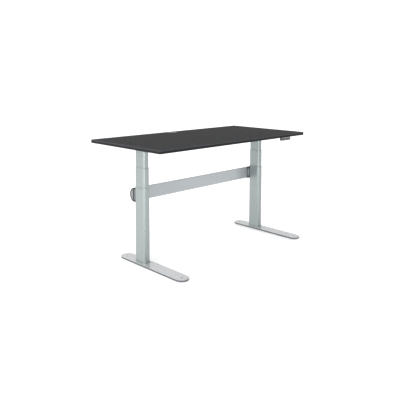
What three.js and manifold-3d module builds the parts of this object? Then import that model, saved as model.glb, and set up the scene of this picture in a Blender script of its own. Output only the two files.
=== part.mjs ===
// A height adjustable standing desk. Units are millimetres, X runs along its width, the user's edge faces -Y,
// and +Z is up. The origin lies on the floor, under the middle of the desk's box. Two three-stage lifting
// columns stand on flat feet, a half-round bar ties them together, and the desktop rides on their inner tubes.
import * as THREE from "three";
import { mergeVertices } from "three/addons/utils/BufferGeometryUtils.js";
import Module from "manifold-3d";

const wasm = await Module();
wasm.setup();

// Driving dimensions
const GAP = 0.3; // left between pieces that touch
const DESKTOP = { width: 1600, depth: 800, thickness: 25, height: 890, corner: 6, arris: 4 };
const FOOT = { length: 700, width: 102, thickness: 12, floorGap: 8, edge: 1.5, ahead: 76 };
const LEG_X = 638; // centre of each column from the middle of the desk
const LEG_SETBACK = -7; // centre of each column from the desktop's centre line
const TUBE = { width: 59, depth: 110, corner: 18, wall: 1.5, step: 5 };
const STAGE_TOP = { outer: 566, middle: 711 };
const STAGE_BOTTOM = { middle: 171, inner: 312 };
const BAR = { height: 100, depth: 44, wall: 2.5, bottom: 456, cap: 3 };
const BRACKET = { thickness: 8, overhang: 15, rise: 2 };
const ARM = { width: 70, height: 30, wall: 2.5, length: 660, tip: 13, slope: 90 };
const HEAD_PLATE = { width: 62, depth: 150, thickness: 4 };
const SCREW = { radius: 6, groove: 2.4, grooveFloor: 4.2 };
const SLEEVE = { radius: 10, bore: 6.6, key: 1.6, keyTip: 4.6, head: 13 };
const PUSH_TUBE = { radius: 14, bore: 12, flange: 8 };
const CARRIER = { radius: 18, bore: 16, flange: 4 };
const GLIDE = { pad: 18, padHeight: 7, stem: 5, fromEnd: 46 };
const GROMMET = { x: -45, hole: 40, flange: 44, rise: 1.5, lip: 34, fromEdge: 55 };
const HANDSET = { x: 543, width: 118, depth: 20, height: 24, wall: 2, ahead: 4, pitch: 14 };
const HANDSET_TAB = { width: 90, reach: 34, thickness: 3, screwHole: 2.5, screwPitch: 60 };
const BUTTON = { width: 11, height: 9, proud: 0.8, flange: 1 };
const CONTROL_BOX = { x: 150, width: 260, depth: 110, height: 40, wall: 2 };
const CABLE_RADIUS = 3;
const ROUND = 16; // sides of a turned piece

// Places worked out from them
const DESK_Y = FOOT.ahead / 2;
const LEG_Y = DESK_Y + LEG_SETBACK;
const FRONT = DESK_Y - DESKTOP.depth / 2;
const UNDERSIDE = DESKTOP.height - DESKTOP.thickness;
const FOOT_TOP = FOOT.floorGap + FOOT.thickness;
const FOOT_Y = FRONT - FOOT.ahead + FOOT.length / 2;
const ARM_ROOF = UNDERSIDE - GAP - ARM.wall;
const HEAD_PLATE_BOTTOM = ARM_ROOF - GAP - HEAD_PLATE.thickness;
const INNER_TOP = HEAD_PLATE_BOTTOM - GAP;
const LOWER_NUT = { bottom: 360, top: 385 };
const BEARING = { bottom: 521, top: 530.7 };
const SLEEVE_SPAN = { bottom: 164, head: 531, top: 541 };
const UPPER_NUT = { bottom: 545, top: 572 };
const SCREW_SPAN = { bottom: 345, head: 706, top: 714 };

const FINISH = {
  silver: { color: 0xbcc4c4, roughness: 0.45, metalness: 0.55 },
  charcoal: { color: 0x404143, roughness: 0.6, metalness: 0 },
  dark: { color: 0x3c4044, roughness: 0.55, metalness: 0.3 },
  black: { color: 0x1c1d1f, roughness: 0.5, metalness: 0 },
  steel: { color: 0x9a9da0, roughness: 0.35, metalness: 0.9 },
  bronze: { color: 0xa9824b, roughness: 0.4, metalness: 0.8 },
  glass: { color: 0x11161b, roughness: 0.1, metalness: 0 },
  grey: { color: 0x8d9194, roughness: 0.5, metalness: 0 },
  board: { color: 0x1f5a3a, roughness: 0.5, metalness: 0 },
};

const desk = new THREE.Group();

// Adds one piece, a named mesh with its own material.
function piece(name, geometry, finish, x = 0, y = 0, z = 0) {
  const mesh = new THREE.Mesh(geometry, new THREE.MeshStandardMaterial(FINISH[finish]));
  mesh.name = name;
  mesh.position.set(x, y, z);
  desk.add(mesh);
  return mesh;
}

// A closed mesh as a solid that can be cut and joined.
function solidFrom(geometry) {
  const bare = geometry.index ? geometry.toNonIndexed() : geometry.clone();
  for (const attribute of ["normal", "uv"]) {
    bare.deleteAttribute(attribute);
  }
  const merged = mergeVertices(bare, 1e-4);
  const corners = merged.index.array;
  const triVerts = [];
  for (let i = 0; i < corners.length; i += 3) {
    const triangle = Array.from(corners.slice(i, i + 3));
    if (new Set(triangle).size === 3) {
      triVerts.push(...triangle);
    }
  }
  const vertProperties = merged.attributes.position.array;
  const faces = new Uint32Array(triVerts);
  return new wasm.Manifold(new wasm.Mesh({ numProp: 3, vertProperties, triVerts: faces }));
}

// A solid as a geometry that a mesh can hold.
function geometryFrom(solid) {
  const { vertProperties, triVerts } = solid.getMesh();
  const geometry = new THREE.BufferGeometry();
  geometry.setAttribute("position", new THREE.Float32BufferAttribute(Array.from(vertProperties), 3));
  geometry.setIndex(Array.from(triVerts));
  geometry.computeVertexNormals();
  return geometry;
}

function cut(geometry, ...tools) {
  return geometryFrom(tools.reduce((solid, tool) => solid.subtract(solidFrom(tool)), solidFrom(geometry)));
}

function join(...geometries) {
  return geometryFrom(geometries.map(solidFrom).reduce((a, b) => a.add(b)));
}

// A rectangle with round corners, centred on the origin.
function roundedRectangle(width, depth, radius) {
  const x = width / 2 - radius;
  const y = depth / 2 - radius;
  const shape = new THREE.Shape();
  shape.absarc(x, y, radius, 0, Math.PI / 2);
  shape.absarc(-x, y, radius, Math.PI / 2, Math.PI);
  shape.absarc(-x, -y, radius, Math.PI, Math.PI * 1.5);
  shape.absarc(x, -y, radius, Math.PI * 1.5, Math.PI * 2);
  shape.closePath();
  return shape;
}

// An outline drawn out upwards between two heights, its sides straight.
function prism(outline, bottom, top, curveSegments = 3) {
  const settings = { depth: top - bottom, bevelEnabled: false, curveSegments };
  return new THREE.ExtrudeGeometry(outline, settings).translate(0, 0, bottom);
}

// The same with its top and bottom edges rounded over.
function softPrism(outline, bottom, top, edge, curveSegments = 3) {
  const settings = {
    depth: top - bottom - 2 * edge,
    bevelThickness: edge,
    bevelSize: edge,
    bevelOffset: -edge,
    bevelSegments: 2,
    curveSegments,
  };
  return new THREE.ExtrudeGeometry(outline, settings).translate(0, 0, bottom + edge);
}

function block(width, depth, height, x, y, bottom) {
  return new THREE.BoxGeometry(width, depth, height).translate(x, y, bottom + height / 2);
}

function rod(radius, bottom, top, sides = ROUND) {
  const cylinder = new THREE.CylinderGeometry(radius, radius, top - bottom, sides);
  return cylinder.rotateX(Math.PI / 2).translate(0, 0, (top + bottom) / 2);
}

// A profile of [radius, height] corners turned about the Z axis.
function turned(profile, sides = ROUND) {
  const corners = profile.map(([radius, height]) => new THREE.Vector2(radius, height));
  return new THREE.LatheGeometry(corners, sides).rotateX(Math.PI / 2);
}

function ring(bore, radius, bottom, top, sides = ROUND) {
  const profile = [[bore, bottom], [radius, bottom], [radius, top], [bore, top], [bore, bottom]];
  return turned(profile, sides);
}

// Turns a prism so that its outline's X and Y lie along Y and Z, and its length along X.
function alongX(geometry) {
  const turn = new THREE.Matrix4();
  turn.makeBasis(new THREE.Vector3(0, 1, 0), new THREE.Vector3(0, 0, 1), new THREE.Vector3(1, 0, 0));
  return geometry.applyMatrix4(turn);
}

// Turns a prism so that its outline's X and Y lie along X and Z, and its length towards the front.
function alongFront(geometry) {
  return geometry.rotateX(Math.PI / 2);
}

// The outline of one column stage: 0 is the outer tube, 1 the middle and 2 the inner. grow widens it all round.
function stageOutline(stage, grow = 0) {
  const shrink = stage * TUBE.step - 2 * grow;
  return roundedRectangle(TUBE.width - shrink, TUBE.depth - shrink, TUBE.corner - shrink / 2);
}

function stageTube(stage, bottom, top) {
  const outline = stageOutline(stage);
  outline.holes.push(stageOutline(stage, -TUBE.wall));
  return prism(outline, bottom, top, 3);
}

// The slide ring in a tube's mouth: a lip on its rim and a thin skirt between it and the next stage.
function slideRing(stage, rim) {
  const lipHeight = 2;
  const skirtLength = 40;
  const skirtWall = 0.4;
  const lip = stageOutline(stage, -GAP);
  const skirt = stageOutline(stage, -TUBE.wall - GAP);
  const outside = join(prism(lip, rim + GAP, rim + lipHeight), prism(skirt, rim - skirtLength, rim + 1));
  const hollow = stageOutline(stage, -TUBE.wall - GAP - skirtWall);
  return cut(outside, prism(hollow, rim - skirtLength - 1, rim + lipHeight + 1));
}

// Feet: flat bars with full round ends, on two screwed glides each.
function foot(side, x) {
  const radius = FOOT.width / 2;
  const straight = FOOT.length / 2 - radius;
  const outline = new THREE.Shape();
  outline.absarc(0, straight, radius, 0, Math.PI);
  outline.absarc(0, -straight, radius, Math.PI, Math.PI * 2);
  outline.closePath();
  const plate = softPrism(outline, FOOT.floorGap, FOOT_TOP, FOOT.edge, 8);
  const reach = FOOT.length / 2 - GLIDE.fromEnd;
  const holes = [-reach, reach].map((y) => rod(GLIDE.stem + GAP, 0, FOOT_TOP + 1).translate(0, y, 0));
  piece(`${side}_foot`, cut(plate, ...holes), "silver", x, FOOT_Y);
  const pad = [[0, 0], [GLIDE.pad - 1.5, 0], [GLIDE.pad, 1.5], [GLIDE.pad, 4], [GLIDE.pad - 6, GLIDE.padHeight]];
  const stem = [[GLIDE.stem, GLIDE.padHeight], [GLIDE.stem, FOOT_TOP - 0.5], [0, FOOT_TOP - 0.5]];
  for (const [end, y] of [["front", -reach], ["rear", reach]]) {
    piece(`${side}_${end}_glide`, turned([...pad, ...stem]), "black", x, FOOT_Y + y);
  }
}

// The fixed stage: the outer tube, its slide ring, and the push tube that holds the lower nut.
function fixedStage(side, x) {
  piece(`${side}_outer_tube`, stageTube(0, FOOT_TOP + GAP, STAGE_TOP.outer), "silver", x, LEG_Y);
  piece(`${side}_outer_slide_ring`, slideRing(0, STAGE_TOP.outer), "grey", x, LEG_Y);
  const flange = prism(stageOutline(0, -TUBE.wall - GAP), FOOT_TOP + GAP, FOOT_TOP + PUSH_TUBE.flange);
  const post = rod(PUSH_TUBE.radius, FOOT_TOP + GAP, LOWER_NUT.bottom - GAP);
  const bore = rod(PUSH_TUBE.bore, FOOT_TOP + PUSH_TUBE.flange, LOWER_NUT.bottom);
  piece(`${side}_push_tube`, cut(join(flange, post), bore), "steel", x, LEG_Y);
  const nut = ring(SLEEVE.radius + GAP, PUSH_TUBE.radius, LOWER_NUT.bottom, LOWER_NUT.top);
  piece(`${side}_lower_nut`, nut, "bronze", x, LEG_Y);
}

// The middle stage: its tube, slide ring and nut carrier, with the upper nut and the sleeve screw's bearing.
function middleStage(side, x) {
  piece(`${side}_middle_tube`, stageTube(1, STAGE_BOTTOM.middle, STAGE_TOP.middle), "silver", x, LEG_Y);
  piece(`${side}_middle_slide_ring`, slideRing(1, STAGE_TOP.middle), "grey", x, LEG_Y);
  const floor = STAGE_BOTTOM.middle + 1;
  const flange = prism(stageOutline(1, -TUBE.wall - GAP), floor, floor + CARRIER.flange);
  const post = rod(CARRIER.radius, floor, UPPER_NUT.bottom - GAP);
  const bore = rod(CARRIER.bore, floor - 1, UPPER_NUT.bottom);
  piece(`${side}_nut_carrier`, cut(join(flange, post), bore), "steel", x, LEG_Y);
  const nut = ring(SCREW.radius + 2 * GAP, CARRIER.radius, UPPER_NUT.bottom, UPPER_NUT.top);
  piece(`${side}_upper_nut`, nut, "bronze", x, LEG_Y);
  const race = ring(SLEEVE.radius + GAP, CARRIER.bore - GAP, BEARING.bottom, BEARING.top);
  piece(`${side}_screw_bearing`, race, "steel", x, LEG_Y);
  piece(`${side}_sleeve_screw`, sleeveScrew(), "steel", x, LEG_Y);
}

// The sleeve screw turns with the drive screw, by a key that runs in the drive screw's groove.
function sleeveScrew() {
  const { bottom, head, top } = SLEEVE_SPAN;
  const body = join(rod(SLEEVE.radius, bottom, top), rod(SLEEVE.head, head, top));
  const bore = rod(SLEEVE.bore, bottom - 1, top + 1);
  const reach = SLEEVE.bore + 1 - SLEEVE.keyTip;
  const key = block(reach, SLEEVE.key, top - bottom, SLEEVE.keyTip + reach / 2, 0, bottom);
  return join(cut(body, bore), key);
}

// The drive screw hangs from the gear motor and runs in the upper nut.
function driveScrew() {
  const { bottom, head, top } = SCREW_SPAN;
  const headRadius = 9;
  const shaft = rod(SCREW.radius, bottom, top);
  const groove = block(SCREW.radius, SCREW.groove, head - bottom, SCREW.grooveFloor + SCREW.radius / 2, 0, bottom);
  groove.translate(0, 0, -1);
  return join(cut(shaft, groove), rod(headRadius, head, top));
}

// The gear motor: gearbox below, motor can above, and a boss that meets the head plate.
function gearMotor() {
  const bottom = SCREW_SPAN.top + GAP;
  const top = INNER_TOP;
  const gearbox = [[0, bottom], [12, bottom], [12, bottom + 4], [21.5, bottom + 4], [21.5, bottom + 56]];
  const can = [[19, bottom + 56], [19, top - 8], [14, top - 8], [14, top], [0, top]];
  return turned([...gearbox, ...can]);
}

// The top stage: inner tube, head plate and gear motor. Its cable leaves by a notch in the tube's mouth.
function topStage(side, x, inward) {
  const notch = block(12, 10, 12, inward * (TUBE.width / 2 - TUBE.step), 0, INNER_TOP - 11);
  const tube = cut(stageTube(2, STAGE_BOTTOM.inner, INNER_TOP), notch);
  piece(`${side}_inner_tube`, tube, "silver", x, LEG_Y);
  piece(`${side}_gear_motor`, gearMotor(), "dark", x, LEG_Y);
  piece(`${side}_drive_screw`, driveScrew(), "steel", x, LEG_Y);
  const plate = roundedRectangle(HEAD_PLATE.width, HEAD_PLATE.depth, 6);
  const plateTop = HEAD_PLATE_BOTTOM + HEAD_PLATE.thickness;
  piece(`${side}_head_plate`, prism(plate, HEAD_PLATE_BOTTOM, plateTop), "silver", x, LEG_Y);
}

// The support arm under the desktop: a channel open below, its webs deeper in the middle than at the tips.
function supportArm(side, x, inward) {
  const half = ARM.length / 2;
  const top = UNDERSIDE - GAP;
  const bottom = top - ARM.height;
  const elevation = new THREE.Shape();
  elevation.moveTo(-half, top);
  elevation.lineTo(-half, top - ARM.tip);
  elevation.lineTo(-half + ARM.slope, bottom);
  elevation.lineTo(half - ARM.slope, bottom);
  elevation.lineTo(half, top - ARM.tip);
  elevation.lineTo(half, top);
  elevation.closePath();
  const envelope = alongX(prism(elevation, -ARM.width / 2, ARM.width / 2));
  const inside = block(ARM.width - 2 * ARM.wall, ARM.length + 2, ARM.height, 0, 0, bottom - ARM.wall);
  const cableHole = rod(6, -6, 6, 12).rotateY(Math.PI / 2);
  cableHole.translate(inward * (ARM.width / 2), LEG_SETBACK, INNER_TOP - 7);
  piece(`${side}_support_arm`, cut(envelope, inside, cableHole), "silver", x, DESK_Y);
}

// The half-round bar that ties the columns together behind them, with its caps and brackets.
function barOutline(inset) {
  const halfHeight = BAR.height / 2 - inset;
  const shape = new THREE.Shape();
  shape.moveTo(inset, -halfHeight);
  shape.absellipse(inset, 0, BAR.depth - 2 * inset, halfHeight, -Math.PI / 2, Math.PI / 2);
  shape.closePath();
  return shape;
}

function crossbar() {
  const halfLength = LEG_X + TUBE.width / 2;
  const legBack = LEG_Y + TUBE.depth / 2;
  const front = legBack + BRACKET.thickness + 2 * GAP;
  const middle = BAR.bottom + BAR.height / 2;
  const inner = halfLength - BAR.cap - GAP;
  const hollow = barOutline(0);
  hollow.holes.push(barOutline(BAR.wall));
  piece("crossbar", alongX(prism(hollow, -inner, inner, 12)), "silver", 0, front, middle);
  for (const [side, way] of [["left", -1], ["right", 1]]) {
    const face = prism(barOutline(0), 0, BAR.cap, 12);
    const plug = prism(barOutline(BAR.wall + GAP), -12, 1, 12);
    const cap = alongX(join(face, plug));
    if (way < 0) {
      cap.scale(-1, 1, 1);
      cap.index.array.reverse();
    }
    piece(`${side}_bar_cap`, cap, "silver", way * (inner + GAP), front, middle);
    const width = TUBE.width + BRACKET.overhang;
    const height = BAR.height + 2 * BRACKET.rise;
    const plate = alongFront(prism(roundedRectangle(width, height, 3), 0, BRACKET.thickness));
    const shift = way * (LEG_X - BRACKET.overhang / 2);
    piece(`${side}_bar_bracket`, plate, "dark", shift, legBack + GAP + BRACKET.thickness, middle);
  }
}

// The desktop, with a grommet for cables near its rear edge.
function desktop() {
  const outline = roundedRectangle(DESKTOP.width, DESKTOP.depth, DESKTOP.corner);
  const slab = softPrism(outline, UNDERSIDE, DESKTOP.height, DESKTOP.arris, 3);
  const grommetY = DESKTOP.depth / 2 - GROMMET.fromEdge;
  const hole = rod(GROMMET.hole, UNDERSIDE - 1, DESKTOP.height + 1, 28).translate(GROMMET.x, grommetY, 0);
  piece("desktop", cut(slab, hole), "charcoal", 0, DESK_Y);
  const top = DESKTOP.height + GROMMET.rise;
  const seat = DESKTOP.height - 8;
  const sleeve = GROMMET.hole - GAP;
  const ringProfile = [
    [GROMMET.lip, seat - 2],
    [GROMMET.lip + 3, UNDERSIDE + 1],
    [sleeve, UNDERSIDE + 1],
    [sleeve, DESKTOP.height + GAP],
    [GROMMET.flange, DESKTOP.height + GAP],
    [GROMMET.flange - 0.5, top],
    [GROMMET.lip + 3, top],
    [GROMMET.lip + 3, seat],
    [GROMMET.lip, seat],
    [GROMMET.lip, seat - 2],
  ];
  piece("grommet_ring", turned(ringProfile, 28), "black", GROMMET.x, DESK_Y + grommetY);
  const capRadius = GROMMET.lip + 3 - GAP;
  const disc = rod(capRadius, top - 3, top, 28);
  const rim = ring(capRadius - 2, capRadius, seat + GAP, top - 2, 28);
  const slot = block(20, 20, 20, 0, capRadius - 4, seat - 4);
  piece("grommet_cap", cut(join(disc, rim), slot), "black", GROMMET.x, DESK_Y + grommetY);
}

// The handset under the front edge: an open-topped shell with a display and five sprung buttons. A tab behind it
// takes the two screws that hold it to the desktop.
function handset() {
  const bottom = UNDERSIDE - GAP - HANDSET.height;
  const centre = FRONT - HANDSET.ahead + HANDSET.depth / 2;
  const middle = bottom + HANDSET.height / 2;
  const face = FRONT - HANDSET.ahead;
  const shell = softPrism(roundedRectangle(HANDSET.width, HANDSET.depth, 5), bottom, UNDERSIDE - GAP, 1.2);
  const hollow = roundedRectangle(HANDSET.width - 2 * HANDSET.wall, HANDSET.depth - 2 * HANDSET.wall, 3);
  const cavity = prism(hollow, bottom + HANDSET.wall, UNDERSIDE + 1);
  const tabDepth = HANDSET_TAB.reach + HANDSET.wall / 2;
  const tabY = HANDSET.depth / 2 - HANDSET.wall / 2 + tabDepth / 2;
  const tabBottom = UNDERSIDE - GAP - HANDSET_TAB.thickness;
  const tab = block(HANDSET_TAB.width, tabDepth, HANDSET_TAB.thickness, 0, tabY, tabBottom);
  const screwHoles = [-1, 1].map((way) => {
    const hole = rod(HANDSET_TAB.screwHole, tabBottom - 1, UNDERSIDE, 12);
    return hole.translate((way * HANDSET_TAB.screwPitch) / 2, HANDSET.depth / 2 + HANDSET_TAB.reach / 2, 0);
  });
  const firstButton = -15;
  const display = { x: -38, width: 26, height: 12 };
  const names = ["up", "down", "memory_1", "memory_2", "memory_3"];
  const places = names.map((_, i) => firstButton + i * HANDSET.pitch);
  const window = (width, height, x) => block(width, 8, height, x, face - centre, middle - height / 2);
  const openings = places.map((x) => window(BUTTON.width + 2 * GAP, BUTTON.height + 2 * GAP, x));
  openings.push(window(display.width + 2 * GAP, display.height + 2 * GAP, display.x));
  const housing = cut(join(shell, tab), cavity, ...openings, ...screwHoles);
  piece("handset_housing", housing, "grey", HANDSET.x, centre);
  const glass = block(display.width, HANDSET.wall, display.height, 0, HANDSET.wall / 2, -display.height / 2);
  piece("handset_display", glass, "glass", HANDSET.x + display.x, face, middle);
  const inside = HANDSET.wall + GAP;
  names.forEach((name, i) => {
    const cap = roundedRectangle(BUTTON.width, BUTTON.height, 1.5);
    const skirt = roundedRectangle(BUTTON.width + 1.6, BUTTON.height + 2, 1.5);
    const front = alongFront(prism(cap, -inside - 0.5, BUTTON.proud));
    const back = alongFront(prism(skirt, -inside - BUTTON.flange, -inside));
    piece(`${name}_button`, join(front, back), "black", HANDSET.x + places[i], face, middle);
  });
  const boardDepth = 8;
  const board = block(HANDSET.width - 12, 1.6, HANDSET.height - 8, 0, 0, bottom + HANDSET.wall + 1);
  piece("handset_board", board, "board", HANDSET.x, face + boardDepth);
}

// The control box under the desktop: a tray and its lid, a board and transformer inside, and a mains inlet.
function controlBox() {
  const { x, width, depth, height, wall } = CONTROL_BOX;
  const top = UNDERSIDE - GAP;
  const lidBottom = top - wall;
  const bottom = top - height;
  const tray = softPrism(roundedRectangle(width, depth, 6), bottom, lidBottom - GAP, 1.2);
  const cavity = prism(roundedRectangle(width - 2 * wall, depth - 2 * wall, 4), bottom + wall, top);
  const inlet = { width: 30, height: 22, x: width / 2 - 40 };
  const inletBottom = bottom + 8;
  const inletHole = block(inlet.width, 12, inlet.height, inlet.x, depth / 2, inletBottom);
  piece("control_box_tray", cut(tray, cavity, inletHole), "black", x, DESK_Y);
  const lid = prism(roundedRectangle(width + 36, depth - 30, 8), lidBottom, top);
  piece("control_box_lid", lid, "black", x, DESK_Y);
  const board = block(width - 20, depth - 20, 1.6, 0, 0, bottom + wall + 3);
  piece("control_board", board, "board", x, DESK_Y);
  const transformer = ring(10, 40, bottom + wall + 5, bottom + wall + 29, 20);
  piece("transformer", transformer, "bronze", x - 60, DESK_Y);
  const gap = 2 * GAP;
  const body = block(inlet.width - gap, 20, inlet.height - gap, 0, -9, GAP);
  const socket = block(inlet.width - 8, 16, inlet.height - 8, 0, -1, 4);
  const inletY = DESK_Y + depth / 2;
  piece("mains_inlet", cut(body, socket), "black", x + inlet.x, inletY, inletBottom);
}

// A cable clipped to the underside along its whole way, through points given as [x, y, z].
function cable(name, points) {
  const route = new THREE.CatmullRomCurve3(points.map((p) => new THREE.Vector3(...p)), false, "centripetal");
  const section = new THREE.Shape();
  section.absarc(0, 0, CABLE_RADIUS, 0, Math.PI * 2);
  const steps = Math.round(route.getLength() / (CABLE_RADIUS * 5));
  const settings = { extrudePath: route, steps: Math.min(steps, 44), curveSegments: 4 };
  piece(name, new THREE.ExtrudeGeometry(section, settings), "black");
}

function cables() {
  const run = UNDERSIDE - CABLE_RADIUS - 3;
  const exit = INNER_TOP - 7;
  const motor = 19 + GAP;
  const box = CONTROL_BOX;
  const boxWall = box.width / 2 + GAP;
  const port = UNDERSIDE - box.height / 2;
  cable("left_motor_cable", [
    [-LEG_X + motor, LEG_Y, exit],
    [-LEG_X + 45, LEG_Y, exit],
    [-LEG_X + 75, LEG_Y, run],
    [-350, LEG_Y, run],
    [-60, DESK_Y + 12, run],
    [box.x - boxWall - 30, DESK_Y + 20, run - 4],
    [box.x - boxWall - 9, DESK_Y + 20, port],
    [box.x - boxWall, DESK_Y + 20, port],
  ]);
  cable("right_motor_cable", [
    [LEG_X - motor, LEG_Y, exit],
    [LEG_X - 45, LEG_Y, exit],
    [LEG_X - 75, LEG_Y, run],
    [480, DESK_Y, run],
    [400, DESK_Y + 20, run],
    [box.x + boxWall + 30, DESK_Y + 20, run - 4],
    [box.x + boxWall + 9, DESK_Y + 20, port],
    [box.x + boxWall, DESK_Y + 20, port],
  ]);
  const handsetBack = FRONT - HANDSET.ahead + HANDSET.depth + GAP;
  cable("handset_cable", [
    [HANDSET.x, handsetBack, run - 2],
    [HANDSET.x, handsetBack + 45, run - 2],
    [HANDSET.x - 40, DESK_Y - 200, run],
    [450, DESK_Y - 60, run],
    [380, DESK_Y - 22, run],
    [box.x + boxWall + 30, DESK_Y - 20, run - 4],
    [box.x + boxWall + 9, DESK_Y - 20, port],
    [box.x + boxWall, DESK_Y - 20, port],
  ]);
}

for (const [side, way] of [["left", -1], ["right", 1]]) {
  const x = way * LEG_X;
  foot(side, x);
  fixedStage(side, x);
  middleStage(side, x);
  topStage(side, x, -way);
  supportArm(side, x, -way);
}
crossbar();
desktop();
handset();
controlBox();
cables();

export default desk;
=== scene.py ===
# %% [markdown]
# # A height adjustable standing desk
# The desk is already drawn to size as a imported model: two lifting columns, their screws and motors, the feet,
# the tie bar and the desktop. This lesson keeps every size from that model and remakes each piece that shows
# with soft edges and a real finish. Every length below is in metres, +Z is up and the user sits at -Y.

import math

import bmesh
import bpy
from mathutils import Matrix, Vector


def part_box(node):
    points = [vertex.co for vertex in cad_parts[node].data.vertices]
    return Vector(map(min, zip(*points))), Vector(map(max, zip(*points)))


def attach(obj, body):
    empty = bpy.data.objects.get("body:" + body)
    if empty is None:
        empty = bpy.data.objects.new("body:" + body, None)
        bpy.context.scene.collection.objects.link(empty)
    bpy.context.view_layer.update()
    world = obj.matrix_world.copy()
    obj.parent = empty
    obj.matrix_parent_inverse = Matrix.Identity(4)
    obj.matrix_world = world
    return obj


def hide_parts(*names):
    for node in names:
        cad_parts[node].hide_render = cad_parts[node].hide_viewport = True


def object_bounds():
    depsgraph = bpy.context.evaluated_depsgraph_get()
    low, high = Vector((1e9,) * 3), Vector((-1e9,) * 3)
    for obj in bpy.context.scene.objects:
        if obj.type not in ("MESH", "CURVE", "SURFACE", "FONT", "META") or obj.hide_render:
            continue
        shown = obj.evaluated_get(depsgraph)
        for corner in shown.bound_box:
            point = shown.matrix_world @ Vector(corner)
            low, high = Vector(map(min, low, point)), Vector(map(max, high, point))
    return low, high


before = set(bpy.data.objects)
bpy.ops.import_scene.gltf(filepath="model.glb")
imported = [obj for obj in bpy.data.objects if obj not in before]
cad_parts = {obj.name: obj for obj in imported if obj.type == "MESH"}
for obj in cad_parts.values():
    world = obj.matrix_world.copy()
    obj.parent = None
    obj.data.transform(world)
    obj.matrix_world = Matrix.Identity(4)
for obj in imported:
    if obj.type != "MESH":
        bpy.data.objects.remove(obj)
CAD_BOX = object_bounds()
MM = 0.001
SIDES = ("left", "right")

# %% [markdown]
# ## The camera
# A desk's legs stay nearly upright in a picture when the camera is held close to level and its lens slides
# down. A Blender camera does that with a small tilt and a vertical shift. It stands to the left of the user's
# side, a little above the desktop.

# %% Camera
LENS = 45.675
TILT = 5
YAW = 45.08
ROLL = 0.18
EYE = Vector((-2.8547, -2.8243, 1.3572))
lens = bpy.data.cameras.new("camera")
lens.lens = LENS
lens.sensor_width = 36
lens.shift_x = -0.0153
lens.shift_y = -0.1967
camera = bpy.data.objects.new("camera", lens)
bpy.context.scene.collection.objects.link(camera)
camera.location = EYE
level = Matrix.Rotation(math.radians(90 - TILT), 4, "X")
camera.matrix_world = (
    Matrix.Translation(EYE)
    @ Matrix.Rotation(math.radians(-YAW), 4, "Z")
    @ level
    @ Matrix.Rotation(math.radians(ROLL), 4, "Z")
)
bpy.context.scene.camera = camera
print("camera at", [round(c, 3) for c in EYE], "lens", LENS)

# %% [markdown]
# ## Writing shaders as sums
# A material is a small network of nodes. It reads better as a formula, so Tone wraps a socket and lets +
# and * build the Math nodes. Network makes any other node from its type, its settings and its inputs, and
# Finish is the network of one material, with the shader's inputs ready to be fed.

# %% Shader helpers


class Tone:
    """A value that flows through a network. Arithmetic on it adds Math nodes."""

    def __init__(self, network, socket):
        self.network = network
        self.socket = socket

    def maths(self, operation, first, second):
        return self.network.node("ShaderNodeMath", {"operation": operation}, {0: first, 1: second})

    def __add__(self, other):
        return self.maths("ADD", self, other)

    __radd__ = __add__

    def __mul__(self, other):
        return self.maths("MULTIPLY", self, other)

    __rmul__ = __mul__


class Network:
    """A tree of shader nodes."""

    def __init__(self, tree):
        self.tree = tree

    def node(self, kind, settings=None, inputs=None, output=0):
        """Adds one node: settings first, then its inputs, and returns the output asked for."""
        made = self.tree.nodes.new(kind)
        for key, value in (settings or {}).items():
            setattr(made, key, value)
        for key, value in (inputs or {}).items():
            if isinstance(value, Tone):
                self.tree.links.new(value.socket, made.inputs[key])
            else:
                made.inputs[key].default_value = value
        return Tone(self, made.outputs[output])


class Finish(Network):
    """A material and the nodes that make it. Lengths are in metres, in the piece's own coordinates."""

    def __init__(self, name, **fixed):
        self.material = bpy.data.materials.new(name)
        self.material.use_nodes = True
        super().__init__(self.material.node_tree)
        self.shader = self.tree.nodes["Principled BSDF"]
        self.place = self.node("ShaderNodeTexCoord", output="Object")
        for socket, value in fixed.items():
            self.shader.inputs[socket.replace("_", " ")].default_value = value

    def stretch(self, x, y, z):
        """The piece's own coordinates, scaled unevenly, for grain that runs one way."""
        return self.node("ShaderNodeMapping", None, {"Vector": self.place, "Scale": (x, y, z)})

    def noise(self, scale, detail=2, vector=None, roughness=0.5):
        """Soft random patches: scale is how many there are in a metre."""
        inputs = {"Vector": vector or self.place, "Scale": scale, "Detail": detail, "Roughness": roughness}
        return self.node("ShaderNodeTexNoise", None, inputs)

    def spread(self, value, low, high):
        """The part of value between low and high, spread from 0 to 1."""
        return self.node("ShaderNodeMapRange", None, {"Value": value, "From Min": low, "From Max": high})

    def mix(self, amount, first, second):
        """One colour into another, by amount."""
        settings = {"data_type": "RGBA", "clamp_factor": True}
        return self.node("ShaderNodeMix", settings, {0: amount, 6: first, 7: second}, 2)

    def feed(self, socket, tone):
        self.tree.links.new(tone.socket, self.shader.inputs[socket])

    def bump(self, height, depth):
        """Raises the surface by height, where 1 is depth metres."""
        inputs = {"Strength": 1.0, "Distance": depth, "Height": height}
        self.feed("Normal", self.node("ShaderNodeBump", None, inputs))


# %% [markdown]
# ## Studio
# The desk stands in a white cove. The cove is a little brighter behind it and on its left than in front and
# on its right, which is how a studio is set when the wide faces of the legs should read as the lightest. A
# tall narrow panel stands on the left, above the desktop, so that the desktop shades the top of the far
# leg. A second one in front draws a line of light down the rounded corners.

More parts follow.
